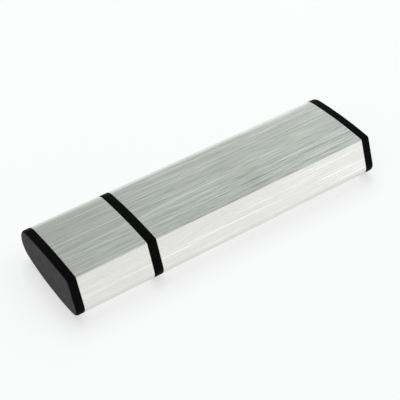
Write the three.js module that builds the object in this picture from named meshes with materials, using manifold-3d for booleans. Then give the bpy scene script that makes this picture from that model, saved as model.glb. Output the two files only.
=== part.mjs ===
// USB flash drive with a pull-off cap, in millimetres.
//
// Two lengths of one aluminium extrusion, closed by black moulded plugs, meet at a black
// collar. The long length holds the circuit board in a two-part carrier; the short one is
// the cap, with a moulded liner that grips the plug.
//
// The drive lies on its curved underside. X runs along it with the cap at -X, Y runs from
// the slanted front face to the round back edge, and Z is up from the surface it lies on.

import * as THREE from 'three';
import { mergeVertices } from 'three/addons/utils/BufferGeometryUtils.js';
import Module from 'manifold-3d';

const wasm = await Module();
wasm.setup();

// ---- driving dimensions ---------------------------------------------------------------

const overallLength = 68;
const capPlugFlange = 1.6;
const capLength = 16.3;
const collarWidth = 1.8;
const bodyPlugFlange = 1.9;

// the cross-section, measured from its lower front corner before that corner is rounded
const frontLean = THREE.MathUtils.degToRad(21.5);
const frontSlant = 8.2;
const topRadius = 86;
const bottomRadius = 37;
const tipRadius = 3.4;
const tipCentre = new THREE.Vector2(17.7, 3.3);
const lowerCornerRadius = 2;
const metalCornerRadius = 0.35;
const plasticCornerRadius = 0.7;
const smallestCornerRadius = 0.3;
const restFlatWidth = 5;

const metalWall = 0.8;
const fit = 0.1; // play around a pushed-in piece
const loosePlay = 0.15; // play around a piece that slides or only rests
const seam = 0.05; // gap between faces that meet
const plugEdgeRadius = 0.35;
const plugWall = 1;

// the plug of the connector, to the USB standard's outer size
const shellWidth = 12;
const shellHeight = 4.5;
const shellLength = 18.8;
const shellSheet = 0.3;
const shellCornerRadius = 0.6;
const shellReach = 12; // how far it stands out of the collar
const tongueWidth = 11;
const tongueThickness = 1.85;
const contactWidth = 1;
const contactThickness = 0.2;

// inner pieces are centred on this point of the section
const coreCentre = new THREE.Vector2(-0.8, 4.3);

const boardWidth = 14;
const boardThickness = 0.8;
const boardTop = 4;

// ---- places along the drive -----------------------------------------------------------

const capEnd = -overallLength / 2;
const bodyEnd = overallLength / 2;
const collarFront = capEnd + capLength;
const collarBack = collarFront + collarWidth;
const bodySleeveEnd = bodyEnd - bodyPlugFlange;
const capSleeveStart = capEnd + capPlugFlange;
const capSpigot = 1.8;
const collarSpigot = 2;
const bodySpigot = 3;
const shellTip = collarFront - shellReach;
const shellRear = shellTip + shellLength;
const carrierStart = collarBack + collarSpigot + fit;
const carrierEnd = bodySleeveEnd - bodySpigot - fit;
const boardStart = carrierStart + 0.2;
const boardEnd = carrierEnd - 1;
const boardBottom = boardTop - boardThickness;

// ---- materials ------------------------------------------------------------------------

const finish = (color, roughness, metalness) =>
  new THREE.MeshStandardMaterial({ color, roughness, metalness });

const aluminium = finish(0xb4b9b3, 0.38, 1);
const blackPlastic = finish(0x1a1a1a, 0.6, 0);
const carrierPlastic = finish(0xd8d6cc, 0.6, 0);
const plugSteel = finish(0xb9bbbd, 0.3, 1);
const tonguePlastic = finish(0xf0eee6, 0.5, 0);
const goldPlate = finish(0xd9a941, 0.3, 1);
const boardGreen = finish(0x1d5a34, 0.5, 0);
const chipResin = finish(0x1b1c1e, 0.65, 0);
const crystalCan = finish(0xc4c3bd, 0.3, 1);
const capacitorCeramic = finish(0xa5815c, 0.55, 0);
const resistorCeramic = finish(0x202024, 0.5, 0);

// ---- solids ---------------------------------------------------------------------------
// Every piece is drawn in the section's own axes: x across (front to back), y up and
// z along the drive. The group at the end turns them into the object's X, Y and Z.

function toSolid(geometry) {
  const bare = geometry.clone();
  bare.deleteAttribute('normal');
  bare.deleteAttribute('uv');
  const merged = mergeVertices(bare);
  return new wasm.Manifold(new wasm.Mesh({
    numProp: 3,
    vertProperties: new Float32Array(merged.attributes.position.array),
    triVerts: new Uint32Array(merged.index.array),
  }));
}

function toGeometry(solid) {
  const mesh = solid.getMesh();
  const geometry = new THREE.BufferGeometry();
  geometry.setAttribute('position', new THREE.BufferAttribute(mesh.vertProperties, 3));
  geometry.setIndex(new THREE.BufferAttribute(mesh.triVerts, 1));
  geometry.computeVertexNormals();
  return geometry;
}

// A straight length of one outline, with both end edges rounded when edge is given.
function prism(shape, from, to, edge = 0) {
  const low = Math.min(from, to);
  const geometry = new THREE.ExtrudeGeometry(shape, {
    depth: Math.abs(to - from) - 2 * edge,
    bevelEnabled: edge > 0,
    bevelThickness: edge,
    bevelSize: edge,
    bevelOffset: -edge,
    bevelSegments: 4,
  });
  return geometry.translate(0, 0, low + edge);
}

function block(low, high) {
  const size = high.map((value, i) => value - low[i]);
  const middle = high.map((value, i) => (value + low[i]) / 2);
  return new THREE.BoxGeometry(...size).translate(...middle);
}

// A side view (z along, y up) made into a piece of the given width across.
function sideProfile(points, width) {
  const shape = new THREE.Shape(points.map(([along, up]) => new THREE.Vector2(along, up)));
  const geometry = new THREE.ExtrudeGeometry(shape, { depth: width, bevelEnabled: false });
  return geometry.rotateY(-Math.PI / 2).translate(width / 2, 0, 0);
}

// Everything between two places along the drive, wider than any piece.
const beyond = 20;
function slab(from, to) {
  const low = [-beyond, -beyond, Math.min(from, to)];
  return toSolid(block(low, [beyond, beyond, Math.max(from, to)]));
}

function cylinderUp(radius, low, high, across, along) {
  const geometry = new THREE.CylinderGeometry(radius, radius, high - low, 16);
  return geometry.translate(across, (low + high) / 2, along);
}

// ---- the cross-section ----------------------------------------------------------------

function lineMeetsCircle(start, direction, centre, radius, side) {
  const offset = start.clone().sub(centre);
  const along = offset.dot(direction);
  const reach = Math.sqrt(along * along - offset.lengthSq() + radius * radius);
  return start.clone().addScaledVector(direction, side * reach - along);
}

// Centre of the circle through a corner that runs smoothly into the round back edge.
function arcCentre(corner, radius, side) {
  const toTip = tipCentre.clone().sub(corner);
  const distance = toTip.length();
  const inner = radius - tipRadius;
  const along = (distance * distance + radius * radius - inner * inner) / (2 * distance);
  const aside = Math.sqrt(radius * radius - along * along);
  toTip.divideScalar(distance);
  const normal = new THREE.Vector2(-toTip.y, toTip.x);
  return corner.clone().addScaledVector(toTip, along).addScaledVector(normal, side * aside);
}

const lowerFront = new THREE.Vector2(0, 0);
const upFront = new THREE.Vector2(Math.sin(frontLean), Math.cos(frontLean));
const intoFront = new THREE.Vector2(Math.cos(frontLean), -Math.sin(frontLean));
const upperFront = upFront.clone().multiplyScalar(frontSlant);
const topCentre = arcCentre(upperFront, topRadius, -1);
const bottomCentre = arcCentre(lowerFront, bottomRadius, 1);
const restAngle = Math.asin(restFlatWidth / 2 / bottomRadius);

function cornerCentre(inset, radius, arcMiddle, arcRadius, side) {
  const start = lowerFront.clone().addScaledVector(intoFront, inset + radius);
  return lineMeetsCircle(start, upFront, arcMiddle, arcRadius - inset - radius, side);
}

// The outline stands on the rest flat, with its middle between front and back at 0.
const lowerMiddle = cornerCentre(0, lowerCornerRadius, bottomCentre, bottomRadius, -1);
const frontmost = lowerMiddle.x - lowerCornerRadius;
const backmost = tipCentre.x + tipRadius;
const shift = new THREE.Vector2(
  -(frontmost + backmost) / 2,
  bottomRadius * Math.cos(restAngle) - bottomCentre.y,
);

function arc(centre, radius, from, to, steps) {
  return new THREE.ArcCurve(centre.x, centre.y, radius, from, to, true).getPoints(steps);
}

// The section's outline, moved inwards by inset, with its sharp upper corner rounded.
function outline(inset, upperRadius) {
  const upper = Math.max(upperRadius - inset, smallestCornerRadius);
  const lower = lowerCornerRadius - inset;
  const upperPoint = cornerCentre(inset, upper, topCentre, topRadius, 1);
  const lowerPoint = cornerCentre(inset, lower, bottomCentre, bottomRadius, -1);
  const frontAngle = Math.PI - frontLean;
  const topStart = upperPoint.clone().sub(topCentre).angle();
  const topEnd = tipCentre.clone().sub(topCentre).angle();
  const bottomStart = tipCentre.clone().sub(bottomCentre).angle();
  const bottomEnd = lowerPoint.clone().sub(bottomCentre).angle();
  const down = 1.5 * Math.PI;
  const points = [
    arc(upperPoint, upper, frontAngle, topStart, 4),
    arc(topCentre, topRadius - inset, topStart, topEnd, 8),
    arc(tipCentre, tipRadius - inset, topEnd, bottomStart, 16),
    arc(bottomCentre, bottomRadius - inset, bottomStart, down + restAngle, 6),
    arc(bottomCentre, bottomRadius - inset, down - restAngle, bottomEnd, 5),
    arc(lowerPoint, lower, bottomEnd, frontAngle, 8),
  ].flat();
  const apart = (point, i) => i === 0 || point.distanceTo(points[i - 1]) > 1e-6;
  return points.filter(apart).map((point) => point.clone().add(shift)).reverse();
}

const solidShape = (inset, corner) => new THREE.Shape(outline(inset, corner));

// ---- casings --------------------------------------------------------------------------

// A cut length of the extrusion, open at both ends.
function sleeve(name, from, to) {
  const shape = solidShape(0, metalCornerRadius);
  shape.holes.push(new THREE.Path(outline(metalWall, metalCornerRadius)));
  const mesh = new THREE.Mesh(prism(shape, 0, to - from), aluminium);
  mesh.name = name;
  mesh.position.z = from;
  return mesh;
}

// A moulded plug: a flange flush with the sleeve and a cored spigot pushed into it.
// inward is +1 when the sleeve lies on the +z side of the flange, -1 when it is behind.
function endPlug(name, outerFace, inward, flange, spigot) {
  const flush = solidShape(0, plasticCornerRadius);
  const inside = solidShape(metalWall + fit, plasticCornerRadius);
  const core = solidShape(metalWall + fit + plugWall, plasticCornerRadius);
  const rounded = prism(flush, 0, inward * (flange + plugEdgeRadius), plugEdgeRadius);
  const root = inward * flange / 2;
  const end = inward * (flange + spigot);
  const solid = toSolid(rounded)
    .subtract(slab(inward * flange, inward * beyond))
    .add(toSolid(prism(inside, root, end)))
    .subtract(toSolid(prism(core, inward * flange, inward * beyond)));
  const mesh = new THREE.Mesh(toGeometry(solid), blackPlastic);
  mesh.name = name;
  mesh.position.z = outerFace;
  return mesh;
}

function connectorHole(clearance, from, to) {
  const halfWidth = shellWidth / 2 + clearance;
  const halfHeight = shellHeight / 2 + clearance;
  return toSolid(block(
    [coreCentre.x - halfWidth, coreCentre.y - halfHeight, from],
    [coreCentre.x + halfWidth, coreCentre.y + halfHeight, to],
  ));
}

// The black ring between cap and body, with the hole that the connector comes out of.
function collar() {
  const inside = solidShape(metalWall + fit, plasticCornerRadius);
  const solid = toSolid(prism(solidShape(0, plasticCornerRadius), 0, collarWidth))
    .add(toSolid(prism(inside, collarWidth / 2, collarWidth + collarSpigot)))
    .subtract(connectorHole(fit, -1, collarWidth + collarSpigot + 1));
  const mesh = new THREE.Mesh(toGeometry(solid), blackPlastic);
  mesh.name = 'front_collar';
  mesh.position.z = collarFront;
  return mesh;
}

// The moulding inside the cap: a socket for the connector, with a cored pocket either side.
function capLiner() {
  const start = capSleeveStart + capSpigot + fit;
  const mouthSetback = 0.5;
  const length = collarFront - mouthSetback - start;
  const rearWall = 1.2;
  const rib = 0.9;
  const socketHalf = shellWidth / 2 + loosePlay;
  const pockets = [
    [-8.6, coreCentre.x - socketHalf - rib],
    [coreCentre.x + socketHalf + rib, 8.9],
  ];
  const pocketBottom = coreCentre.y - 1.5;
  const pocketTop = coreCentre.y + 1.1;
  let solid = toSolid(prism(solidShape(metalWall + fit, metalCornerRadius), 0, length))
    .subtract(connectorHole(loosePlay, -1, length + 1));
  for (const [low, high] of pockets) {
    const pocket = block([low, pocketBottom, rearWall], [high, pocketTop, length + 1]);
    solid = solid.subtract(toSolid(pocket));
  }
  const mesh = new THREE.Mesh(toGeometry(solid), blackPlastic);
  mesh.name = 'cap_liner';
  mesh.position.z = start;
  return mesh;
}

// ---- the board's carrier --------------------------------------------------------------
// Two halves that part at the middle of the board's thickness.

const carrierInset = metalWall + loosePlay;
const carrierSkin = 0.9;
const carrierRearWall = 1;
const carrierSplit = (boardTop + boardBottom) / 2;
const postAcross = 5.4;
const postAlong = 6;
const postRadius = 0.45;

// The room that both halves of the carrier leave for the board, its parts and the plug.
function carrierRoom() {
  const cavityHalf = 6.2;
  const earRoom = 0.5;
  const rearRoom = 0.3;
  const boardHalf = boardWidth / 2 + fit;
  const left = coreCentre.x - boardHalf;
  const right = coreCentre.x + boardHalf;
  const front = carrierStart - 1;
  const inside = solidShape(carrierInset + carrierSkin, metalCornerRadius);
  const narrow = block([-cavityHalf, -beyond, -beyond], [cavityHalf, beyond, beyond]);
  const slot = block([left, boardBottom - fit, front], [right, boardTop + fit, boardEnd + fit]);
  const earSlot = block([left, boardBottom - fit, front], [right, boardTop + earRoom, shellRear + fit]);
  return toSolid(prism(inside, shellRear + rearRoom, carrierEnd - carrierRearWall))
    .intersect(toSolid(narrow.translate(coreCentre.x, 0, 0)))
    .add(toSolid(slot))
    .add(toSolid(earSlot))
    .add(connectorHole(fit, front, shellRear + fit + rearRoom));
}

function carrierHalf(name, low, high, posts) {
  const half = toSolid(block([-beyond, low, -beyond], [beyond, high, beyond]));
  const filling = prism(solidShape(carrierInset, metalCornerRadius), carrierStart, carrierEnd);
  const postFoot = carrierInset + carrierSkin / 2;
  const postTop = boardTop + 0.8;
  let solid = toSolid(filling).intersect(half).subtract(carrierRoom());
  for (const side of posts) {
    const across = coreCentre.x + side * postAcross;
    solid = solid.add(toSolid(cylinderUp(postRadius, postFoot, postTop, across, postAlong)));
  }
  const mesh = new THREE.Mesh(toGeometry(solid), carrierPlastic);
  mesh.name = name;
  return mesh;
}

// ---- connector ------------------------------------------------------------------------

function roundedRectangle(width, height, radius) {
  const shape = new THREE.Shape();
  const right = width / 2 - radius;
  const upper = height / 2 - radius;
  shape.absarc(right, upper, radius, 0, Math.PI / 2);
  shape.absarc(-right, upper, radius, Math.PI / 2, Math.PI);
  shape.absarc(-right, -upper, radius, Math.PI, 1.5 * Math.PI);
  shape.absarc(right, -upper, radius, 1.5 * Math.PI, 2 * Math.PI);
  return new THREE.Shape(shape.getPoints(3));
}

// The folded steel shell, with its latch windows and the two ears soldered to the board.
function usbShell() {
  const innerRadius = shellCornerRadius - shellSheet;
  const tube = roundedRectangle(shellWidth, shellHeight, shellCornerRadius);
  const bore = roundedRectangle(shellWidth - 2 * shellSheet, shellHeight - 2 * shellSheet, innerRadius);
  tube.holes.push(new THREE.Path(bore.getPoints()));
  let solid = toSolid(prism(tube, 0, shellLength));
  const windowFromTip = 5.4;
  const windowLength = 2;
  const windowWidth = 2.5;
  const windowAcross = 2.25;
  const earReach = 0.85;
  const earLength = 2;
  const earEnd = shellLength - 0.3;
  const earBottom = boardTop + seam - coreCentre.y;
  for (const side of [-1, 1]) {
    const middle = side * windowAcross;
    solid = solid.subtract(toSolid(block(
      [middle - windowWidth / 2, -shellHeight, windowFromTip],
      [middle + windowWidth / 2, shellHeight, windowFromTip + windowLength],
    )));
    const ear = [side * (shellWidth - shellSheet) / 2, side * (shellWidth / 2 + earReach)];
    solid = solid.add(toSolid(block(
      [Math.min(...ear), earBottom, earEnd - earLength],
      [Math.max(...ear), earBottom + shellSheet, earEnd],
    )));
  }
  const mesh = new THREE.Mesh(toGeometry(solid), plugSteel);
  mesh.name = 'usb_shell';
  mesh.position.set(coreCentre.x, coreCentre.y, shellTip);
  return mesh;
}

const tongueBottom = coreCentre.y - shellHeight / 2 + shellSheet + seam;
const tongueTop = tongueBottom + tongueThickness;
const tongueSetback = 0.5;
const contactTop = tongueTop + seam;
const contactTail = 1.6;

// The power contacts reach nearer to the mouth than the data contacts, so they meet first.
const contacts = [
  { name: 'usb_contact_power', across: 3.5, fromTip: 1.3 },
  { name: 'usb_contact_data_minus', across: 1, fromTip: 2.3 },
  { name: 'usb_contact_data_plus', across: -1, fromTip: 2.3 },
  { name: 'usb_contact_ground', across: -3.5, fromTip: 1.3 },
];

// The insulator, with one groove along it for each contact.
function usbTongue() {
  const length = shellLength - tongueSetback;
  const nose = 0.5;
  const grooveDepth = 0.4;
  const grooveLead = 0.2;
  let solid = toSolid(sideProfile([
    [0, 0],
    [length, 0],
    [length, tongueThickness],
    [nose, tongueThickness],
    [0, tongueThickness - nose],
  ], tongueWidth));
  for (const contact of contacts) {
    const halfGroove = contactWidth / 2 + fit;
    const grooveStart = contact.fromTip - tongueSetback - grooveLead;
    solid = solid.subtract(toSolid(block(
      [contact.across - halfGroove, tongueThickness - grooveDepth, grooveStart],
      [contact.across + halfGroove, tongueThickness + 1, length + 1],
    )));
  }
  const mesh = new THREE.Mesh(toGeometry(solid), tonguePlastic);
  mesh.name = 'usb_tongue';
  mesh.position.set(coreCentre.x, tongueBottom, shellTip + tongueSetback);
  return mesh;
}

// A stamped contact: its nose dips into the groove and its tail lies on the board.
function usbContact({ name, across, fromTip }) {
  const length = shellLength - fromTip + contactTail;
  const dip = 0.12;
  const noseLength = 0.7;
  const geometry = sideProfile([
    [0, -dip],
    [noseLength, 0],
    [length, 0],
    [length, -contactThickness],
    [noseLength, -contactThickness],
    [0, -dip - contactThickness],
  ], contactWidth);
  const mesh = new THREE.Mesh(geometry, goldPlate);
  mesh.name = name;
  mesh.position.set(coreCentre.x + across, contactTop, shellTip + fromTip);
  return mesh;
}

// ---- board ----------------------------------------------------------------------------

// The board straddles the back of the shell, and the carrier's posts pass through it.
function circuitBoard() {
  const half = boardWidth / 2;
  const notchHalf = shellWidth / 2 + fit;
  const notchEnd = shellRear + 0.2;
  let solid = toSolid(block([-half, 0, boardStart], [half, boardThickness, boardEnd]))
    .subtract(toSolid(block([-notchHalf, -1, boardStart - 1], [notchHalf, 2, notchEnd])));
  for (const side of [-1, 1]) {
    const hole = cylinderUp(postRadius + fit, -1, 2, side * postAcross, postAlong);
    solid = solid.subtract(toSolid(hole));
  }
  const mesh = new THREE.Mesh(toGeometry(solid), boardGreen);
  mesh.name = 'circuit_board';
  mesh.position.set(coreCentre.x, boardBottom, 0);
  return mesh;
}

// A resin package on a row of bent leads along each of the given sides.
function chip({ name, width, height, length, leadsPerSide, sides, along }) {
  const pitch = 0.5;
  const leadWidth = 0.22;
  const leadReach = 0.9;
  const standOff = 0.1;
  let solid = toSolid(block([-width / 2, standOff, -length / 2], [width / 2, height, length / 2]));
  const leadSheet = 0.15;
  const leadTop = height * 0.55;
  const lead = sideProfile([
    [-0.1, leadTop],
    [0.2, leadTop],
    [0.45, leadSheet],
    [leadReach, leadSheet],
    [leadReach, 0],
    [0.35, 0],
    [0.1, leadTop - leadSheet],
    [-0.1, leadTop - leadSheet],
  ], leadWidth);
  for (const side of sides) {
    const toEdge = side % 2 === 0 ? length / 2 : width / 2;
    for (let i = 0; i < leadsPerSide; i += 1) {
      const offset = (i - (leadsPerSide - 1) / 2) * pitch;
      const placed = lead.clone().translate(offset, 0, toEdge).rotateY(side * Math.PI / 2);
      solid = solid.add(toSolid(placed));
    }
  }
  const mesh = new THREE.Mesh(toGeometry(solid), chipResin);
  mesh.name = name;
  mesh.position.set(coreCentre.x, boardTop + seam, along);
  return mesh;
}

// A small ceramic part: a body with a raised metal cap on each end.
function endCappedPart(name, material, across, along, size, cap) {
  const [width, height, length] = size;
  const inset = 0.05;
  const end = (from, to) => toSolid(block([-width / 2, 0, from], [width / 2, height, to]));
  const solid = toSolid(block(
    [-width / 2 + inset, inset, -length / 2 + cap / 2],
    [width / 2 - inset, height - inset, length / 2 - cap / 2],
  )).add(end(-length / 2, cap - length / 2)).add(end(length / 2 - cap, length / 2));
  const mesh = new THREE.Mesh(toGeometry(solid), material);
  mesh.name = name;
  mesh.position.set(coreCentre.x + across, boardTop + seam, along);
  return mesh;
}

const frontRow = -6.9; // the row of parts between the connector and the controller

// The clock crystal in its lidded can.
function crystal() {
  const cornerRadius = 0.4;
  const base = prism(roundedRectangle(5, 3.2, cornerRadius), 0, 0.7).rotateX(-Math.PI / 2);
  const lid = prism(roundedRectangle(4.4, 2.6, cornerRadius), 0.6, 1.1).rotateX(-Math.PI / 2);
  const solid = toSolid(base).add(toSolid(lid));
  const mesh = new THREE.Mesh(toGeometry(solid), crystalCan);
  mesh.name = 'clock_crystal';
  mesh.position.set(coreCentre.x + 3.2, boardTop + seam, frontRow);
  return mesh;
}

function boardParts() {
  const capacitorSize = [0.8, 0.8, 1.6];
  const resistorSize = [0.8, 0.45, 1.6];
  const capacitorPlaces = [[-1.4, frontRow], [-2.8, frontRow], [-5.8, 3], [5.8, 3]];
  const resistorPlaces = [[-4.2, frontRow], [-5.6, frontRow], [-5.8, -1.5], [5.8, -1.5]];
  return [
    ...capacitorPlaces.map(([across, along], i) =>
      endCappedPart(`capacitor_${i + 1}`, capacitorCeramic, across, along, capacitorSize, 0.35)),
    ...resistorPlaces.map(([across, along], i) =>
      endCappedPart(`resistor_${i + 1}`, resistorCeramic, across, along, resistorSize, 0.3)),
  ];
}

// ---- assembly -------------------------------------------------------------------------

const cap = new THREE.Group();
cap.add(
  endPlug('cap_end_plug', capEnd, 1, capPlugFlange, capSpigot),
  sleeve('cap_sleeve', capSleeveStart + seam, collarFront - seam),
  capLiner(),
);

const body = new THREE.Group();
body.add(
  collar(),
  sleeve('body_sleeve', collarBack + seam, bodySleeveEnd - seam),
  endPlug('body_end_plug', bodyEnd, -1, bodyPlugFlange, bodySpigot),
  carrierHalf('board_carrier_lower', -beyond, carrierSplit - seam / 2, [-1, 1]),
  carrierHalf('board_carrier_upper', carrierSplit + seam / 2, beyond, []),
  usbShell(),
  usbTongue(),
  ...contacts.map(usbContact),
  circuitBoard(),
  chip({
    name: 'controller_chip', width: 7, height: 1.3, length: 7, leadsPerSide: 12,
    sides: [0, 1, 2, 3], along: 0.4,
  }),
  chip({
    name: 'memory_chip', width: 12, height: 1.1, length: 18.4, leadsPerSide: 24,
    sides: [0, 2], along: 17.2,
  }),
  crystal(),
  ...boardParts(),
);

// Turns the section's axes (across, up, along) into the object's Y, Z and X.
const drive = new THREE.Group();
drive.quaternion.set(0.5, 0.5, 0.5, 0.5);
drive.add(cap, body);

export default drive;
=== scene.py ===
# %% [markdown]
# # A USB flash drive with a pull-off cap
#
# The drive is two lengths of one brushed aluminium extrusion. Black moulded plugs close the
# outer ends, a black collar stands between cap and body, and a USB plug hides in the cap.
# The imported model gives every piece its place. This file remakes the pieces with finer
# meshes in the same places, and gives each one its finish.

# %% Load the fixed frame
import math

import bmesh
import bpy
from mathutils import Matrix, Vector


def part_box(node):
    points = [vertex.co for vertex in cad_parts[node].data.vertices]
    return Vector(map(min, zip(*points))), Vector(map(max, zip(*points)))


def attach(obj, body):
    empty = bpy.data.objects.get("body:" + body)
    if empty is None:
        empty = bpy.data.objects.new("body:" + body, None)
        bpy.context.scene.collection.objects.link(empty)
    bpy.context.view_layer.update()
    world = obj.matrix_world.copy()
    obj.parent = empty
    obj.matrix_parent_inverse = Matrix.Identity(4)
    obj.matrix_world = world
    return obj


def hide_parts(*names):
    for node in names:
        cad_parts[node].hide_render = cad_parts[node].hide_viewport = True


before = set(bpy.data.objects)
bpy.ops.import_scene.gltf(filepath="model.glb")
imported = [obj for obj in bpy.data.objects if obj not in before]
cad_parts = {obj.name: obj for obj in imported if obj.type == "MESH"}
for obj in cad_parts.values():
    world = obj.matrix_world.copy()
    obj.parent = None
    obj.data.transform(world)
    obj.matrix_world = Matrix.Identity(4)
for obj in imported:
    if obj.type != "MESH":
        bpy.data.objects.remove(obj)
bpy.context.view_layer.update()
MM = 0.001


# %% [markdown]
# ## Where each node lies
#
# A piece never gets a place of its own. It asks the frame where its CAD node is, in
# millimetres, and is drawn between those limits.

# %% Read a node's limits
def limits(node):
    low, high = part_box(node)
    return [v / MM for v in low], [v / MM for v in high]


for node in ("cap_end_plug", "cap_sleeve", "front_collar", "body_sleeve", "body_end_plug"):
    low, high = limits(node)
    print(f"{node}: x {low[0]:.2f} to {high[0]:.2f} mm")


# %% [markdown]
# ## The extrusion's section
#
# On the real drive one die shapes everything: a flat front that leans back, a top and a
# belly of large radius, and a small round back edge. The CAD facets these arcs. They could
# be smoothed with a subdivision surface, but that would also soften the crisp upper corner,
# so the arcs are drawn again from their radii, with more points. All sizes are in
# millimetres, and the result is checked against the frame.

# %% The section's sizes
FRONT_LEAN = math.radians(21.5)
FRONT_SLANT = 8.2
TOP_RADIUS = 86.0
BELLY_RADIUS = 37.0
BACK_RADIUS = 3.4
BACK_CENTRE = Vector((17.7, 3.3))
LOWER_CORNER = 2.0
METAL_CORNER = 0.2
PLASTIC_CORNER = 0.7
SMALLEST_CORNER = 0.2
REST_FLAT = 5.0
METAL_WALL = 0.8
PLUG_FIT = 0.1

up_front = Vector((math.sin(FRONT_LEAN), math.cos(FRONT_LEAN)))
into_front = Vector((math.cos(FRONT_LEAN), -math.sin(FRONT_LEAN)))


def arc_centre(corner, radius, side):
    to_back = BACK_CENTRE - corner
    distance = to_back.length
    inner = radius - BACK_RADIUS
    along = (distance ** 2 + radius ** 2 - inner ** 2) / (2 * distance)
    aside = math.sqrt(radius ** 2 - along ** 2)
    to_back.normalize()
    return corner + to_back * along + Vector((-to_back.y, to_back.x)) * (side * aside)


def corner_centre(inset, radius, centre, arc_radius, side):
    start = into_front * (inset + radius) - centre
    along = start.dot(up_front)
    reach = math.sqrt(along ** 2 - start.length_squared + (arc_radius - inset - radius) ** 2)
    return centre + start + up_front * (side * reach - along)


top_centre = arc_centre(up_front * FRONT_SLANT, TOP_RADIUS, -1)
belly_centre = arc_centre(Vector((0.0, 0.0)), BELLY_RADIUS, 1)
rest_angle = math.asin(REST_FLAT / 2 / BELLY_RADIUS)


# %% [markdown]
# Every outline, at any inset, has the same number of points. Outlines can then be stacked
# into rings and joined by quads, which is how the sleeves and plugs below are made.

# %% Draw the outline
def arc(centre, radius, start, end, steps):
    while end > start:
        end -= 2 * math.pi
    angles = [start + (end - start) * i / steps for i in range(steps + 1)]
    return [centre + Vector((math.cos(a), math.sin(a))) * radius for a in angles]


def angle_of(v):
    return math.atan2(v.y, v.x)


def raw_outline(inset, corner):
    upper = max(corner - inset, SMALLEST_CORNER)
    lower = LOWER_CORNER - inset
    upper_centre = corner_centre(inset, upper, top_centre, TOP_RADIUS, 1)
    lower_centre = corner_centre(inset, lower, belly_centre, BELLY_RADIUS, -1)
    front = math.pi - FRONT_LEAN
    top_start = angle_of(upper_centre - top_centre)
    top_end = angle_of(BACK_CENTRE - top_centre)
    belly_start = angle_of(BACK_CENTRE - belly_centre)
    belly_end = angle_of(lower_centre - belly_centre)
    down = -math.pi / 2
    back_arc = arc(BACK_CENTRE, BACK_RADIUS - inset, top_end, belly_start, 40)
    belly = belly_centre, BELLY_RADIUS - inset
    return (
        arc(upper_centre, upper, front, top_start, 8)[:-1]
        + arc(top_centre, TOP_RADIUS - inset, top_start, top_end, 24)[:-1]
        + back_arc[:-1]
        + arc(*belly, belly_start, down + rest_angle, 14)
        + arc(*belly, down - rest_angle, belly_end, 10)[:-1]
        + arc(lower_centre, lower, belly_end, front, 20)
    )


drawn = raw_outline(0.0, METAL_CORNER)
sleeve_low, sleeve_high = limits("body_sleeve")
section_shift = Vector((
    (sleeve_low[1] + sleeve_high[1] - min(p.x for p in drawn) - max(p.x for p in drawn)) / 2,
    sleeve_low[2] - min(p.y for p in drawn),
))


def outline(inset=0.0, corner=PLASTIC_CORNER):
    return [tuple(p + section_shift) for p in raw_outline(inset, corner)]


ys, zs = zip(*outline(0.0, METAL_CORNER))
print(f"section {max(ys) - min(ys):.3f} by {max(zs) - min(zs):.3f} mm, {len(ys)} points;",
      f"the frame says {sleeve_high[1] - sleeve_low[1]:.3f} by {sleeve_high[2] - sleeve_low[2]:.3f}")


# %% [markdown]
# ## From rings to a mesh
#
# A ring is an outline at one place along the drive. Joining each ring to the next gives a
# clean quad mesh with no boolean and no stray face. A closed tube joins its last ring to
# its first; a plug is capped at both ends.

# %% Loft rings
def piece_from(name, bm):
    bmesh.ops.recalc_face_normals(bm, faces=bm.faces)
    mesh = bpy.data.meshes.new(name)
    bm.to_mesh(mesh)
    bm.free()
    mesh.shade_smooth()
    piece = bpy.data.objects.new(name, mesh)
    bpy.context.collection.objects.link(piece)
    return piece


def loft(name, rings, closed=False):
    bm = bmesh.new()
    rows = [[bm.verts.new((x * MM, y * MM, z * MM)) for x, y, z in ring] for ring in rings]
    following = rows[1:] + rows[:1] if closed else rows[1:]
    for row, after in zip(rows, following):
        for i in range(len(row)):
            j = (i + 1) % len(row)
            bm.faces.new((row[i], row[j], after[j], after[i]))
    if not closed:
        bm.faces.new(rows[0])
        bm.faces.new(rows[-1])
    return piece_from(name, bm)


def section_rings(profile, corner=PLASTIC_CORNER):
    return [[(x, y, z) for y, z in outline(inset, corner)] for x, inset in profile]


# %% [markdown]
# Cut metal and moulded plastic both have a small round on every edge, and that round is
# what catches the light. A profile of the wall, seen from the side, therefore has its
# corners rounded before it is turned into rings.

# %% Round the corners of a profile
def rounded(points, radii, steps=4, closed=False):
    """The polyline with a fillet of the given radius at each point (0 keeps it sharp)."""
    result = []
    count = len(points)
    for i, (point, radius) in enumerate(zip(points, radii)):
        here = Vector(point)
        if radius == 0 or (not closed and i in (0, count - 1)):
            result.append(tuple(here))
            continue
        before = (Vector(points[i - 1]) - here).normalized()
        after = (Vector(points[(i + 1) % count]) - here).normalized()
        half = before.angle(after) / 2
        centre = here + (before + after).normalized() * (radius / math.sin(half))
        first = here + before * (radius / math.tan(half)) - centre
        last = here + after * (radius / math.tan(half)) - centre
        turn = first.angle_signed(last)
        for k in range(steps + 1):
            spoke = first.copy()
            spoke.rotate(Matrix.Rotation(-turn * k / steps, 2))
            result.append(tuple(centre + spoke))
    return result


def soften(piece):
    """Large flat faces keep flat shading while the small rounds shade smoothly."""
    modifier = piece.modifiers.new("even_shading", "WEIGHTED_NORMAL")
    modifier.keep_sharp = True
    modifier.weight = 100
    return piece


# %% [markdown]
# ## The two aluminium sleeves
#
# Each sleeve is a sawn length of the extrusion, deburred so that its ends keep a round of
# less than a tenth of a millimetre. The wall's side view, a long thin rectangle, is swept
# round the section.

# %% Make the sleeves
SAWN_EDGE = 0.09


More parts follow.
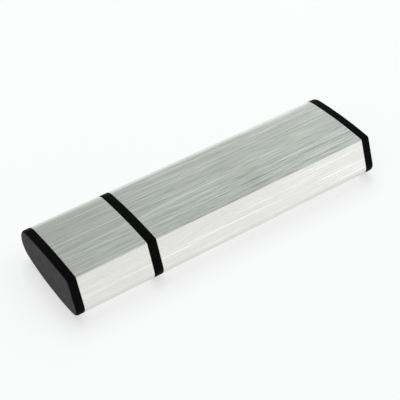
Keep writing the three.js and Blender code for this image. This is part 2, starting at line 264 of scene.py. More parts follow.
def sleeve(name, node, body):
    low, high = limits(node)
    wall = [(low[0], 0.0), (high[0], 0.0), (high[0], METAL_WALL), (low[0], METAL_WALL)]
    profile = rounded(wall, [SAWN_EDGE] * 4, steps=3, closed=True)
    piece = loft(name, section_rings(profile, METAL_CORNER), closed=True)
    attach(piece, body)
    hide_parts(node)
    return soften(piece)


cap_sleeve = sleeve("brushed_cap_sleeve", "cap_sleeve", "cap")
body_sleeve = sleeve("brushed_body_sleeve", "body_sleeve", "body")
print("sleeve faces:", len(cap_sleeve.data.polygons), len(body_sleeve.data.polygons))


# %% [markdown]
# ## The end plugs
#
# A plug is moulded in one shot: a flange flush with the metal, its outer edge rounded, and
# a hollow spigot with a lead-in chamfer that is pushed into the sleeve. The flat outer face
# is spark-textured in the tool while the sides are smooth, so that face gets a second
# material slot.

# %% Make the end plugs
PLUG_EDGE = 0.5
PLUG_WALL = 1.0
INNER_EDGE = 0.06
LEAD_IN = 0.25
SEAT_GAP = 0.05
FACE_BAND = 0.05
FACE_NORMAL = 0.98


def end_plug(name, node, sleeve_node, body):
    low, high = limits(node)
    sleeve_from, sleeve_to = limits(sleeve_node)
    outward = -1 if low[0] < sleeve_from[0] else 1
    face, tip = (low[0], high[0]) if outward < 0 else (high[0], low[0])
    seat = sleeve_from[0] if outward < 0 else sleeve_to[0]
    seat += outward * SEAT_GAP
    inner = METAL_WALL + PLUG_FIT
    core = inner + PLUG_WALL
    side = [
        (face, core), (face, 0.0), (seat, 0.0), (seat, inner),
        (tip, inner), (tip, core), (seat, core),
    ]
    radii = [0, PLUG_EDGE, INNER_EDGE, 0, LEAD_IN, INNER_EDGE, 0]
    profile = rounded(side, radii, steps=6)
    piece = loft(name, section_rings(profile))
    for polygon in piece.data.polygons:
        flat_out = polygon.normal.x * outward > FACE_NORMAL
        at_face = abs(polygon.center.x - face * MM) < FACE_BAND * MM
        polygon.material_index = int(flat_out and at_face)
    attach(piece, body)
    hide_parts(node)
    return soften(piece)


cap_plug = end_plug("black_cap_plug", "cap_end_plug", "cap_sleeve", "cap")
body_plug = end_plug("black_body_plug", "body_end_plug", "body_sleeve", "body")


# %% [markdown]
# ## Cutting holes
#
# The collar and the cap's liner have square openings in a rounded body. Here a boolean is
# the plain choice, because the openings are boxes with rounded corners. Each cutter is
# removed once the cut has been applied.

# %% Cutters
def rounded_box(name, low, high, radius, along="x", lead=0.0):
    """A box in mm whose edges parallel to one axis are rounded. lead flares its high-x end."""
    order = {"x": (0, 1, 2), "z": (2, 0, 1)}[along]
    a, b, c = order
    middle = [(low[i] + high[i]) / 2 for i in range(3)]
    half = [(high[i] - low[i]) / 2 for i in range(3)]

    def ring(place, grow):
        points = []
        for k, (sb, sc) in enumerate(((1, 1), (-1, 1), (-1, -1), (1, -1))):
            for step in range(5):
                turn = math.pi / 2 * (k + step / 4)
                point = [0.0, 0.0, 0.0]
                point[a] = place
                point[b] = middle[b] + sb * (half[b] + grow - radius) + radius * math.cos(turn)
                point[c] = middle[c] + sc * (half[c] + grow - radius) + radius * math.sin(turn)
                points.append(tuple(point))
        return points

    places = [(low[a], 0.0), (high[a], 0.0)]
    if lead:
        places = [(low[a], 0.0), (high[a] - lead, 0.0), (high[a], lead), (high[a] + 1.0, lead)]
    return loft(name, [ring(*place) for place in places])


def applied(piece):
    depsgraph = bpy.context.evaluated_depsgraph_get()
    mesh = bpy.data.meshes.new_from_object(piece.evaluated_get(depsgraph))
    piece.modifiers.clear()
    piece.data = mesh
    return piece


def combine(piece, others, operation="DIFFERENCE"):
    for other in others:
        modifier = piece.modifiers.new("cut", "BOOLEAN")
        modifier.operation = operation
        modifier.solver = "EXACT"
        modifier.object = other
        applied(piece)
        bpy.data.objects.remove(other)
    return piece


def edge_round(piece, width, segments=2, limit=40):
    modifier = piece.modifiers.new("moulded_edge", "BEVEL")
    modifier.width = width * MM
    modifier.segments = segments
    modifier.limit_method = "ANGLE"
    modifier.angle_limit = math.radians(limit)
    modifier.miter_outer = "MITER_ARC"
    modifier.use_clamp_overlap = True
    modifier.harden_normals = False
    return piece


# %% [markdown]
# ## The collar
#
# The black ring is the front of the body. Its flange is flush with both sleeves, its spigot
# sits in the body's sleeve, and the plug comes out through a close-fitting hole.

# %% Make the collar
shell_low, shell_high = limits("usb_shell")
tongue_low, tongue_high = limits("usb_tongue")
CAP_INSET = 1.9
PAST = 1.0
COLLAR_HOLE_CORNER = 0.65
COLLAR_EDGE = 0.05
SHELL_HALF_WIDTH = 6.0
SHELL_HALF_HEIGHT = (shell_high[2] - shell_low[2]) / 2
plug_y = (tongue_low[1] + tongue_high[1]) / 2
plug_z = (shell_low[2] + shell_high[2]) / 2


def plug_hole(name, play, x_from, x_to, radius, lead=0.0):
    half_width = SHELL_HALF_WIDTH + play
    half_height = SHELL_HALF_HEIGHT + play
    low = (x_from, plug_y - half_width, plug_z - half_height)
    high = (x_to, plug_y + half_width, plug_z + half_height)
    return rounded_box(name, low, high, radius, lead=lead)


def collar():
    low, high = limits("front_collar")
    seat = sleeve_low[0] - SEAT_GAP
    inner = METAL_WALL + PLUG_FIT
    side = [
        (low[0], CAP_INSET), (low[0], 0.0), (seat, 0.0),
        (seat, inner), (high[0], inner), (high[0], CAP_INSET),
    ]
    profile = rounded(side, [0, INNER_EDGE, INNER_EDGE, 0, LEAD_IN, 0], steps=3)
    piece = loft("black_collar", section_rings(profile))
    hole = plug_hole("hole", PLUG_FIT, low[0] - PAST, high[0] + PAST, COLLAR_HOLE_CORNER)
    combine(piece, [hole])
    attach(piece, "body")
    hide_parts("front_collar")
    return soften(edge_round(piece, COLLAR_EDGE))


collar_piece = collar()
print("collar faces:", len(collar_piece.data.polygons))


# %% [markdown]
# ## The cap's liner
#
# The liner grips the plug. Its socket opens in a small flare that guides the plug in, and
# a pocket on either side keeps the moulding's walls thin.

# %% Make the liner
SOCKET_PLAY = 0.15
SOCKET_CORNER = 0.5
SOCKET_FLARE = 0.25
LINER_EDGE = 0.06
MOUTH_EDGE = 0.12
RIB = 0.9
POCKET_FLOOR = 1.2
POCKET_CORNER = 0.3
POCKET_BELOW = 1.5
POCKET_ABOVE = 1.1
POCKET_FRONT = -8.6
POCKET_BACK = 8.9


def cap_liner():
    low, high = limits("cap_liner")
    inner = METAL_WALL + PLUG_FIT
    side = [(low[0], CAP_INSET), (low[0], inner), (high[0], inner), (high[0], CAP_INSET)]
    profile = rounded(side, [0, INNER_EDGE, MOUTH_EDGE, 0], steps=3)
    piece = loft("cap_socket_liner", section_rings(profile))
    socket = plug_hole(
        "socket", SOCKET_PLAY, low[0] - PAST, high[0], SOCKET_CORNER, lead=SOCKET_FLARE,
    )
    rib = SHELL_HALF_WIDTH + SOCKET_PLAY + RIB
    pockets = []
    for y_from, y_to in ((POCKET_FRONT, plug_y - rib), (plug_y + rib, POCKET_BACK)):
        pocket_low = (low[0] + POCKET_FLOOR, y_from, plug_z - POCKET_BELOW)
        pocket_high = (high[0] + PAST, y_to, plug_z + POCKET_ABOVE)
        pockets.append(rounded_box("pocket", pocket_low, pocket_high, POCKET_CORNER))
    combine(piece, [socket, *pockets])
    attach(piece, "cap")
    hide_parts("cap_liner")
    return soften(edge_round(piece, LINER_EDGE))


liner = cap_liner()
print("liner faces:", len(liner.data.polygons))


# %% [markdown]
# ## The connector's shell
#
# The shell is 0.3 mm steel folded into a tube. It has two latch windows above and two
# below, ears soldered to the board, and underneath the seam where the sheet's edges meet,
# held by a dovetail.

# %% Make the shell
SHEET = 0.3
FOLD_RADIUS = 0.6
SHELL_EDGES = [0.1, 0.05, 0.05, 0.1]
SHELL_BEVEL = 0.03
WINDOW_START = 5.4
WINDOW_LENGTH = 2.0
WINDOW_ASIDE = 2.25
WINDOW_HALF_WIDTH = 1.25
WINDOW_HALF_DEPTH = 0.8
SMALL_CORNER = 0.2


def shell_ring(x, inset):
    ring = []
    radius = FOLD_RADIUS - inset
    for k, (sy, sz) in enumerate(((1, 1), (-1, 1), (-1, -1), (1, -1))):
        for step in range(7):
            turn = math.pi / 2 * (k + step / 6)
            y = plug_y + sy * (SHELL_HALF_WIDTH - FOLD_RADIUS) + radius * math.cos(turn)
            z = plug_z + sz * (SHELL_HALF_HEIGHT - FOLD_RADIUS) + radius * math.sin(turn)
            ring.append((x, y, z))
    return ring


def shell_windows():
    start = shell_low[0] + WINDOW_START
    windows = []
    for side in (-1, 1):
        for end in (-1, 1):
            middle_y = plug_y + side * WINDOW_ASIDE
            middle_z = plug_z + end * SHELL_HALF_HEIGHT
            low = (start, middle_y - WINDOW_HALF_WIDTH, middle_z - WINDOW_HALF_DEPTH)
            high = (
                start + WINDOW_LENGTH,
                middle_y + WINDOW_HALF_WIDTH,
                middle_z + WINDOW_HALF_DEPTH,
            )
            windows.append(rounded_box("window", low, high, SMALL_CORNER, along="z"))
    return windows


SEAM_WIDTH = 0.05
SEAM_DEPTH = 0.14
SEAM_BELOW = 0.2
SEAM_CORNER = 0.02
DOVETAIL = 0.55


def seam_cuts():
    start = shell_low[0]
    bottom = shell_low[2]
    runs = [
        (start - PAST, start + 3.2, 0.0),
        (start + 3.2, start + 4.8, DOVETAIL),
        (start + 8.0, start + 9.6, -DOVETAIL),
        (start + 9.6, shell_high[0] + PAST, 0.0),
    ]
    cuts = []
    for x_from, x_to, aside in runs:
        low = (x_from, plug_y + aside - SEAM_WIDTH / 2, bottom - SEAM_BELOW)
        high = (x_to, plug_y + aside + SEAM_WIDTH / 2, bottom + SEAM_DEPTH)
        cuts.append(rounded_box("seam", low, high, SEAM_CORNER))
    return cuts


EAR_OVERLAP = 0.15
EAR_REACH = 6.85
EAR_FROM = 2.3
EAR_TO = 0.3
EAR_HEIGHT = 4.05


def connector_shell():
    start, end = shell_low[0], shell_high[0]
    wall = [(start, 0.0), (end, 0.0), (end, SHEET), (start, SHEET)]
    profile = rounded(wall, SHELL_EDGES, steps=3, closed=True)
    piece = loft("plug_shell", [shell_ring(x, inset) for x, inset in profile], closed=True)
    combine(piece, shell_windows())
    ears = []
    for side in (-1, 1):
        root = plug_y + side * (SHELL_HALF_WIDTH - EAR_OVERLAP)
        reach = sorted((root, plug_y + side * EAR_REACH))
        low = (end - EAR_FROM, reach[0], EAR_HEIGHT)
        high = (end - EAR_TO, reach[1], EAR_HEIGHT + SHEET)
        ears.append(rounded_box("ear", low, high, SMALL_CORNER, along="z"))
    combine(piece, ears, "UNION")
    combine(piece, seam_cuts())
    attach(piece, "body")
    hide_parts("usb_shell")
    return soften(edge_round(piece, SHELL_BEVEL))


shell_piece = connector_shell()
print("shell faces:", len(shell_piece.data.polygons))


# %% [markdown]
# ## Tongue and contacts
#
# The insulator fills the lower half of the shell. Four grooves run along it, and a stamped,
# gold-plated contact lies in each. Each contact is lofted from small rounded rectangles
# whose height follows the bent nose.

# %% Make the tongue
CONTACTS = (
    "usb_contact_power", "usb_contact_data_minus", "usb_contact_data_plus", "usb_contact_ground",
)
NOSE = 0.5
GROOVE_AHEAD = 0.2
GROOVE_PLAY = 0.1
GROOVE_DEPTH = 0.4
GROOVE_CORNER = 0.05
TONGUE_EDGE = 0.06


def tongue():
    low, high = tongue_low, tongue_high
    side = [
        (low[0], low[2]), (high[0], low[2]), (high[0], high[2]),
        (low[0] + NOSE, high[2]), (low[0], high[2] - NOSE),
    ]
    rings = [[(x, y, z) for x, z in side] for y in (low[1], high[1])]
    piece = loft("plug_tongue", rings)
    grooves = []
    for node in CONTACTS:
        contact_low, contact_high = limits(node)
        groove_low = (
            contact_low[0] - GROOVE_AHEAD,
            contact_low[1] - GROOVE_PLAY,
            high[2] - GROOVE_DEPTH,
        )
        groove_high = (high[0] + PAST, contact_high[1] + GROOVE_PLAY, high[2] + PAST)
        grooves.append(rounded_box("groove", groove_low, groove_high, GROOVE_CORNER))
    combine(piece, grooves)
    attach(piece, "body")
    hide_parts("usb_tongue")
    return soften(edge_round(piece, TONGUE_EDGE))


tongue_piece = tongue()
print("tongue faces:", len(tongue_piece.data.polygons))


# %% Make the contacts
STRIP_THICKNESS = 0.2
STRIP_EDGE = 0.05
NOSE_BEND = 0.7
STATION_STEP = 0.1
END_STEP = 0.06


def contact(node):
    low, high = limits(node)
    length = high[0] - low[0]
    dip = (high[2] - low[2]) - STRIP_THICKNESS
    half = (high[1] - low[1]) / 2
    middle = (high[1] + low[1]) / 2
    rings = []
    stations = [(0.0, 0.75), (END_STEP, 0.95)]
    stations += [(k * STATION_STEP, 1.0) for k in range(2, 8)]
    stations += [(length - END_STEP, 1.0), (length, 0.9)]
    for along, fill in stations:
        fall = dip * max(0.0, 1 - along / NOSE_BEND) ** 2
        level = high[2] - fall - STRIP_THICKNESS / 2
        wide, tall = half * fill, STRIP_THICKNESS / 2 * fill
        corners = [(-wide, -tall), (wide, -tall), (wide, tall), (-wide, tall)]
        shape = rounded(corners, [STRIP_EDGE] * 4, steps=2, closed=True)
        rings.append([(low[0] + along, middle + y, level + z) for y, z in shape])
    piece = loft(node.replace("usb", "plug"), rings)
    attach(piece, "body")
    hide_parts(node)
    return soften(piece)


contact_pieces = [contact(node) for node in CONTACTS]
print("contacts:", ", ".join(piece.name for piece in contact_pieces))


# %% [markdown]
# ## Building materials from nodes
#
# Each finish is a small node tree on the Principled shader. The helper below makes a node,
# sets its values and links whatever it is given, so a material reads like a recipe.
# Coordinates are the object's own, in metres, so a grain has its true size on every piece.

# %% Node helpers
def add(tree, kind, settings=None, **inputs):
    node = tree.nodes.new("ShaderNode" + kind)
    for key, value in (settings or {}).items():
        setattr(node, key, value)
    for key, value in inputs.items():
        numbered = key[0] == "i" and key[1:].isdigit()
        socket = node.inputs[int(key[1:]) if numbered else key.replace("_", " ")]
        if isinstance(value, bpy.types.NodeSocket):
            tree.links.new(value, socket)
        else:
            socket.default_value = value
    return node


def new_material(name):
    material = bpy.data.materials.new(name)
    material.use_nodes = True
    tree = material.node_tree
    tree.nodes.clear()
    shader = add(tree, "BsdfPrincipled")
    add(tree, "OutputMaterial", Surface=shader.outputs[0])
    place = add(tree, "TexCoord").outputs["Object"]
    return material, tree, shader, place


def stretched_noise(tree, place, scale, shift=(0.0, 0.0, 0.0), detail=2.0, roughness=0.55):
    """Noise whose grain has its own size along each axis; scale is in grains per metre."""
    mapping = add(tree, "Mapping", Vector=place, Location=shift, Scale=scale)
    noise = add(tree, "TexNoise", Vector=mapping.outputs[0], Scale=1.0, Detail=detail,
                Roughness=roughness)
    return noise.outputs["Fac"]


def spread(tree, value, low, high, to_low=0.0, to_high=1.0):
    remap = add(tree, "MapRange", i0=value, i1=low, i2=high, i3=to_low, i4=to_high)
    return remap.outputs[0]


NOISE_LOW = 0.3
NOISE_HIGH = 0.7


def from_noise(tree, noise, to_low, to_high):
    """Most of the noise lies between two values. They become to_low and to_high."""
    return spread(tree, noise, NOISE_LOW, NOISE_HIGH, to_low, to_high)


def maths(tree, operation, a, b):
    return add(tree, "Math", {"operation": operation}, i0=a, i1=b).outputs[0]


def blend(tree, fraction, a, b):
    mix = add(tree, "Mix", {"data_type": "RGBA"}, i0=fraction, i6=a, i7=b)
    return mix.outputs[2]


# %% [markdown]
# ## Brushed aluminium
# A belt leaves grooves a tenth of a millimetre wide and several millimetres long, some much
# longer. Together they are a soft grey grain, and single deeper ones show as light or dark
# hairs. The grain is noise stretched along X. Its strength is given: strongest on the
# top face near the front edge, fading towards the round back, weak on the front face, and
# weaker on the cap than on the body. Its extra strength on faces that point up is painted
# reflection of the room above. The light end of the colour range is above 1, which no real
# metal reaches, so that single hairs stand out: the light hairs are grooves and painted
# highlights at once, and show only on faces that point up. Anisotropy spreads each
# reflection across the grooves.

# %% Where the grain is strong
CAP_STRENGTH = 0.78
BODY_STRENGTH = 1.1
CHANGE_FROM = -0.1
CHANGE_TO = 0.5
collar_start = limits("front_collar")[0][0]


def grain_and_sheen_strength(tree, place):
    """How much the metal faces up, and how strong its grain is there; the extra strength on upward
    faces is painted reflection.
    """
    facing = add(tree, "SeparateXYZ", Vector=add(tree, "NewGeometry").outputs["Normal"])
    # Painted reflection: faces that point up get a stronger grain, standing in for the room they
    # mirror.
    sheen_by_facing = spread(tree, facing.outputs[2], 0.45, 0.95, 0.22, 1.0)
    across = add(tree, "SeparateXYZ", Vector=place)
    near_front = spread(tree, across.outputs[1], -0.008, 0.007, 1.25, 0.6)
    cap_side = (collar_start + CHANGE_FROM) * MM
    body_side = (collar_start + CHANGE_TO) * MM
    harder = spread(tree, across.outputs[0], cap_side, body_side, CAP_STRENGTH, BODY_STRENGTH)
    strength = maths(tree, "MULTIPLY", maths(tree, "MULTIPLY", sheen_by_facing, near_front), harder)
    return sheen_by_facing, strength


print(f"the grain's strength changes at x {collar_start:.1f} mm, where the collar starts")


# %% Mix the aluminium
SHADE_DARK = (0.47, 0.489, 0.478, 1)
# The light end, above 1, is painted highlight for the brightest hairs.
GRAIN_AND_GLINT_LIGHT = (1.525, 1.477, 1.41, 1)


def brushed_aluminium():
    material, tree, shader, place = new_material("brushed_aluminium")
    fine = stretched_noise(tree, place, (240, 8400, 8400), detail=1)
    long_grain = stretched_noise(tree, place, (20, 7600, 7600), (0.3, 0.1, 0.7), detail=1)
    cloud = stretched_noise(tree, place, (60, 240, 240), (0.9, 0.4, 0.2), detail=1)
    light_hair_glint = stretched_noise(tree, place, (42, 3300, 3300), (0.6, 0.8, 0.1), detail=0)
    dark_hair = stretched_noise(tree, place, (60, 4600, 4600), (0.2, 0.5, 0.4), detail=0)
    patch = stretched_noise(tree, place, (50, 560, 560), (0.5, 0.3, 0.9), detail=1)
    sheen_by_facing, strength = grain_and_sheen_strength(tree, place)
    grain = maths(tree, "ADD", from_noise(tree, fine, -0.42, 0.42),
                  from_noise(tree, long_grain, -0.28, 0.28))
    # Light hairs are grooves and painted highlights at once, brighter than metal can be, shown only
    # on faces that point up.
    clustered_hair_glints = maths(tree, "MULTIPLY", spread(tree, light_hair_glint, 0.65, 0.675, 0.0, 6.0),
                      spread(tree, patch, 0.4, 0.56, 0.1, 1.0))
    hairs_and_glints = maths(tree, "SUBTRACT", clustered_hair_glints, spread(tree, dark_hair, 0.67, 0.72, 0.0, 0.4))
    hairs_and_glints = maths(tree, "MULTIPLY", hairs_and_glints, sheen_by_facing)
    change = maths(tree, "MULTIPLY", maths(tree, "ADD", grain, hairs_and_glints), strength)
    level = maths(tree, "ADD", spread(tree, change, -0.86, 1.84, 0.0, 1.0),
                  from_noise(tree, cloud, -0.014, 0.014))
    colour = blend(tree, level, SHADE_DARK, GRAIN_AND_GLINT_LIGHT)
    rough = from_noise(tree, long_grain, 0.27, 0.37)
    bump = add(tree, "Bump", Height=fine, Strength=0.12, Distance=0.00002)
    tangent = add(tree, "Tangent", {"direction_type": "RADIAL", "axis": "X"})
    shader.inputs["Metallic"].default_value = 1.0
    shader.inputs["Anisotropic"].default_value = 0.55
    tree.links.new(colour, shader.inputs["Base Color"])
    tree.links.new(rough, shader.inputs["Roughness"])
    tree.links.new(bump.outputs[0], shader.inputs["Normal"])
    tree.links.new(tangent.outputs[0], shader.inputs["Tangent"])
    return material


aluminium = brushed_aluminium()
for piece in (cap_sleeve, body_sleeve):
    piece.data.materials.append(aluminium)
print("aluminium nodes:", len(aluminium.node_tree.nodes))


# %% [markdown]
# ## Black plastic, smooth and spark-textured
#
# The sides come from polished steel and look almost pure black. The end faces come from a
# spark-eroded surface: thousands of small pits a quarter of a millimetre across, which
# scatter light and make the same plastic look dark grey.

# %% Mix the plastics
def plastic(name, dark, light, roughness, specular, grain, grain_depth, flow_scale=90):
    """grain is the size of the surface's speckle in mm, and grain_depth its relief in mm."""
    material, tree, shader, place = new_material(name)
    per_metre = 1 / (grain * MM)
    speckle = stretched_noise(tree, place, (per_metre,) * 3, detail=3, roughness=0.6)
    flow = stretched_noise(tree, place, (flow_scale,) * 3, (0.4, 0.2, 0.6), detail=2)
    tone = maths(tree, "ADD", from_noise(tree, speckle, 0.0, 0.6),
                 from_noise(tree, flow, 0.0, 0.4))
    bump = add(tree, "Bump", Height=speckle, Strength=1.0, Distance=grain_depth * MM)
    rough = from_noise(tree, speckle, roughness - 0.06, roughness + 0.06)
    shader.inputs["Specular IOR Level"].default_value = specular
    tree.links.new(blend(tree, tone, (*dark, 1), (*light, 1)), shader.inputs["Base Color"])
    tree.links.new(rough, shader.inputs["Roughness"])
    tree.links.new(bump.outputs[0], shader.inputs["Normal"])
    return material


smooth_black = plastic(
    "smooth_black_plastic", (0.0015, 0.0015, 0.0015), (0.004, 0.004, 0.004),
    roughness=0.5, specular=0.03, grain=0.12, grain_depth=0.002,
)
spark_black = plastic(
    "spark_textured_black_plastic", (0.016, 0.015, 0.016), (0.072, 0.067, 0.071),
    roughness=0.7, specular=0.16, grain=0.26, grain_depth=0.03, flow_scale=600,
)
for piece in (cap_plug, body_plug):
    piece.data.materials.append(smooth_black)
    piece.data.materials.append(spark_black)
collar_piece.data.materials.append(smooth_black)

liner_black = plastic(
    "liner_black_plastic", (0.012, 0.012, 0.013), (0.02, 0.02, 0.021),
    roughness=0.5, specular=0.3, grain=0.3, grain_depth=0.003,
)
liner.data.materials.append(liner_black)
tongue_white = plastic(
    "tongue_white_plastic", (0.72, 0.71, 0.67), (0.84, 0.83, 0.79),
    roughness=0.35, specular=0.5, grain=0.4, grain_depth=0.002,
)
tongue_piece.data.materials.append(tongue_white)
print("plastics:", smooth_black.name, spark_black.name, liner_black.name, tongue_white.name)


# %% Mix the metals of the connector
def plated_metal(name, dark, light, roughness, grain):
    """Rolled or plated sheet: fine rolling lines along X under a bright plating."""
    material, tree, shader, place = new_material(name)
    lines = stretched_noise(tree, place, (300, 1000 / grain, 1000 / grain), detail=3)
    stain = stretched_noise(tree, place, (220, 220, 220), (0.1, 0.6, 0.3), detail=2)
    tone = maths(tree, "ADD", from_noise(tree, lines, 0.0, 0.6),
                 from_noise(tree, stain, 0.0, 0.4))
    bump = add(tree, "Bump", Height=lines, Strength=0.15, Distance=0.00001)
    shader.inputs["Metallic"].default_value = 1.0
    rough = from_noise(tree, stain, roughness - 0.05, roughness + 0.08)
    tree.links.new(blend(tree, tone, (*dark, 1), (*light, 1)), shader.inputs["Base Color"])
    tree.links.new(rough, shader.inputs["Roughness"])
    tree.links.new(bump.outputs[0], shader.inputs["Normal"])
    return material


nickel = plated_metal("nickel_plated_steel", (0.60, 0.60, 0.59), (0.78, 0.78, 0.77), 0.2, 0.12)
gold = plated_metal("gold_plate", (0.78, 0.52, 0.17), (0.95, 0.70, 0.30), 0.2, 0.15)
tin = plated_metal("tinned_metal", (0.55, 0.55, 0.54), (0.72, 0.72, 0.71), 0.35, 0.2)
shell_piece.data.materials.append(nickel)
for piece in contact_pieces:
    piece.data.materials.append(gold)


# %% [markdown]
# ## What the sleeve hides
#
# The carrier, the board and its parts never show, but they are still real pieces. Their CAD
# solids keep their shape here, and each gets its own finish. The chips' leads and the small
# parts' end caps are tinned: that finish starts at a given distance from the node's ends.

# %% Finish the hidden pieces
painted = []


def paint(node, material):
    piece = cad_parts[node]
    piece.data.materials.clear()
    piece.data.materials.append(material)
    painted.append(node)


def tinned_ends(node, body, end_x, end_y=0.0):
    """The body's finish, but tinned metal within end_x and end_y mm of the node's ends."""
    low, high = limits(node)
    material = body.copy()
    material.name = node + "_finish"
    tree = material.node_tree
    shader = tree.nodes["Principled BSDF"]
    place = add(tree, "TexCoord").outputs["Object"]
    along = add(tree, "SeparateXYZ", Vector=place)
    tinned = 0.0
    for axis, end in ((0, end_x), (1, end_y)):
        if end:
            middle = (low[axis] + high[axis]) / 2
            half = (high[axis] - low[axis]) / 2 - end
            offset = maths(tree, "SUBTRACT", along.outputs[axis], middle * MM)
            outside = maths(tree, "GREATER_THAN", maths(tree, "ABSOLUTE", offset, 0.0), half * MM)
            tinned = maths(tree, "MAXIMUM", outside, tinned)
    dull = stretched_noise(tree, place, (4000, 4000, 4000), detail=2)
    tin_tone = blend(tree, dull, (0.55, 0.55, 0.54, 1), (0.72, 0.72, 0.71, 1))
    body_tone = shader.inputs["Base Color"].links[0].from_socket
    body_rough = shader.inputs["Roughness"].links[0].from_socket
    smoother = maths(tree, "MULTIPLY", tinned, 0.2)
    tree.links.new(blend(tree, tinned, body_tone, tin_tone), shader.inputs["Base Color"])
    tree.links.new(maths(tree, "SUBTRACT", body_rough, smoother), shader.inputs["Roughness"])
    tree.links.new(tinned, shader.inputs["Metallic"])
    return material


carrier_plastic = plastic(
    "carrier_plastic", (0.60, 0.58, 0.52), (0.72, 0.70, 0.64),
    roughness=0.5, specular=0.4, grain=0.4, grain_depth=0.003,
)
board_green = plastic(
    "board_solder_mask", (0.012, 0.10, 0.04), (0.03, 0.17, 0.07),
    roughness=0.35, specular=0.5, grain=0.6, grain_depth=0.004,
)
chip_resin = plastic(
    "chip_resin", (0.012, 0.012, 0.013), (0.028, 0.028, 0.03),
    roughness=0.6, specular=0.3, grain=0.08, grain_depth=0.004,
)
capacitor_brown = plastic(
    "capacitor_ceramic", (0.30, 0.20, 0.12), (0.42, 0.29, 0.18),
    roughness=0.5, specular=0.4, grain=0.1, grain_depth=0.002,
)
resistor_black = plastic(
    "resistor_ceramic", (0.015, 0.015, 0.02), (0.03, 0.03, 0.036),
    roughness=0.3, specular=0.5, grain=0.1, grain_depth=0.001,
)
CHIP_LEADS = 0.9
CAPACITOR_CAPS = 0.35
RESISTOR_CAPS = 0.3
for half in ("board_carrier_lower", "board_carrier_upper"):
    paint(half, carrier_plastic)
paint("circuit_board", board_green)
paint("controller_chip", tinned_ends("controller_chip", chip_resin, CHIP_LEADS, CHIP_LEADS))
paint("memory_chip", tinned_ends("memory_chip", chip_resin, CHIP_LEADS))
paint("clock_crystal", tin)
for number in range(1, 5):
    capacitor, resistor = f"capacitor_{number}", f"resistor_{number}"
    paint(capacitor, tinned_ends(capacitor, capacitor_brown, CAPACITOR_CAPS))
    paint(resistor, tinned_ends(resistor, resistor_black, RESISTOR_CAPS))
print("hidden pieces finished:", len(painted))


# %% [markdown]
# ## The studio
#
# The drive lies on a white sheet that glows, which keeps its shadow pale. Brushed metal
# shows the room around it, so the room is part of the finish: bright near the horizon for
# the front face, grey higher up for the top, and brightest part of the way to the right. A
# softbox behind the drive adds light but is hidden from reflections, so it leaves no
# highlight of its own. The sheet lies a hundredth of a millimetre below the drive, so that
# the two are never in one plane.

# %% Floor
FLOOR_GLOW = 0.595
FLOOR_DROP = 0.01
FLOOR_HALF = 3.0
SQUARE = ((-1, -1), (1, -1), (1, 1), (-1, 1))


def make_floor():
    material, tree, shader, place = new_material("lit_white_sheet")
    paper = stretched_noise(tree, place, (900, 900, 900), detail=2)
    tree.links.new(blend(tree, paper, (0.512, 0.515, 0.543, 1), (0.532, 0.535, 0.563, 1)),
                   shader.inputs["Base Color"])
    shader.inputs["Roughness"].default_value = 0.3
    shader.inputs["Specular IOR Level"].default_value = 0.3
    shader.inputs["Emission Color"].default_value = (1.0, 0.985, 0.975, 1)
    shader.inputs["Emission Strength"].default_value = FLOOR_GLOW
    bm = bmesh.new()
    height = -FLOOR_DROP * MM
    corners = [bm.verts.new((FLOOR_HALF * a, FLOOR_HALF * b, height)) for a, b in SQUARE]
    bm.faces.new(corners)
    floor = piece_from("floor", bm)
    floor.data.materials.append(material)
    return floor


print("floor:", make_floor().name)


# %% Room and softbox
def colour_ramp(tree, value, stops):
    ramp = add(tree, "ValToRGB", Fac=value)
    elements = ramp.color_ramp.elements
    while len(elements) < len(stops):
        elements.new(0.5)
    for element, (place, level) in zip(elements, stops):
        element.position = place
        element.color = (*level, 1)
    return ramp.outputs[0]


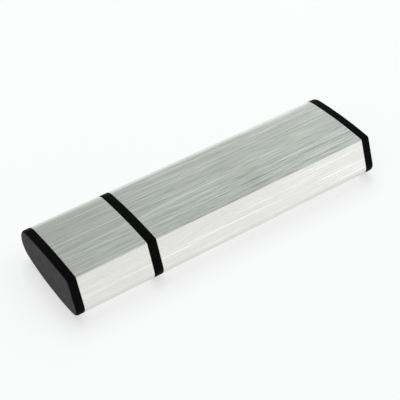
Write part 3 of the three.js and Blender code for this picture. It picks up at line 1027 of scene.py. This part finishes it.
def room():
    world = bpy.data.worlds.new("studio_room")
    bpy.context.scene.world = world
    world.use_nodes = True
    tree = world.node_tree
    tree.nodes.clear()
    direction = add(tree, "SeparateXYZ", Vector=add(tree, "TexCoord").outputs["Generated"])
    by_height = colour_ramp(tree, direction.outputs[2], [
        (0.0, (0.97, 0.97, 0.97)),
        (0.25, (0.66, 0.675, 0.66)),
        (0.45, (0.425, 0.46, 0.44)),
        (0.7, (0.453, 0.488, 0.468)),
        (1.0, (0.59, 0.62, 0.60)),
    ])
    rightward = spread(tree, direction.outputs[0], -1.0, 1.0)
    by_side = colour_ramp(tree, rightward, [
        (0.0, (0.75,) * 3),
        (0.4, (0.75,) * 3),
        (0.65, (0.94,) * 3),
        (0.78, (1.4,) * 3),
        (1.0, (0.95,) * 3),
    ])
    background = add(tree, "Background", Color=by_height, Strength=by_side)
    add(tree, "OutputWorld", Surface=background.outputs[0])


def softbox(name, size, place, watts):
    light = bpy.data.lights.new(name, "AREA")
    light.shape = "SQUARE"
    light.size = size
    light.energy = watts
    light.color = (0.96, 1.0, 1.0)
    lamp = bpy.data.objects.new(name, light)
    lamp.visible_glossy = False
    lamp.location = place
    lamp.rotation_euler = (-Vector(place)).to_track_quat("-Z", "Y").to_euler()
    bpy.context.collection.objects.link(lamp)


SOFTBOX_SIZE = 0.6
SOFTBOX_PLACE = (0.18, 0.62, 1.08)
SOFTBOX_WATTS = 4.6

room()
softbox("rear_softbox", SOFTBOX_SIZE, SOFTBOX_PLACE, SOFTBOX_WATTS)
bpy.context.scene.view_settings.view_transform = "Standard"
print("world:", bpy.context.scene.world.name)


# %% [markdown]
# ## The camera
#
# The camera looks down from the cap's side, from a hand's length away, through a long lens.

# %% Camera
AZIMUTH = math.radians(34.50)
ELEVATION = math.radians(43.58)
DISTANCE = 217.9
FOCAL_LENGTH = 103.0
AIM = Vector((-1.09, -0.27, 4.32))

forward = Vector((
    math.sin(AZIMUTH) * math.cos(ELEVATION),
    math.cos(AZIMUTH) * math.cos(ELEVATION),
    -math.sin(ELEVATION),
))
camera_data = bpy.data.cameras.new("camera")
camera_data.lens = FOCAL_LENGTH
camera_data.sensor_width = 36.0
camera_data.clip_start = 0.001
camera = bpy.data.objects.new("camera", camera_data)
camera.location = (AIM - forward * DISTANCE) * MM
camera.rotation_euler = forward.to_track_quat("-Z", "Y").to_euler()
bpy.context.collection.objects.link(camera)
bpy.context.scene.camera = camera
print("camera at", [round(v / MM, 1) for v in camera.location], "mm")
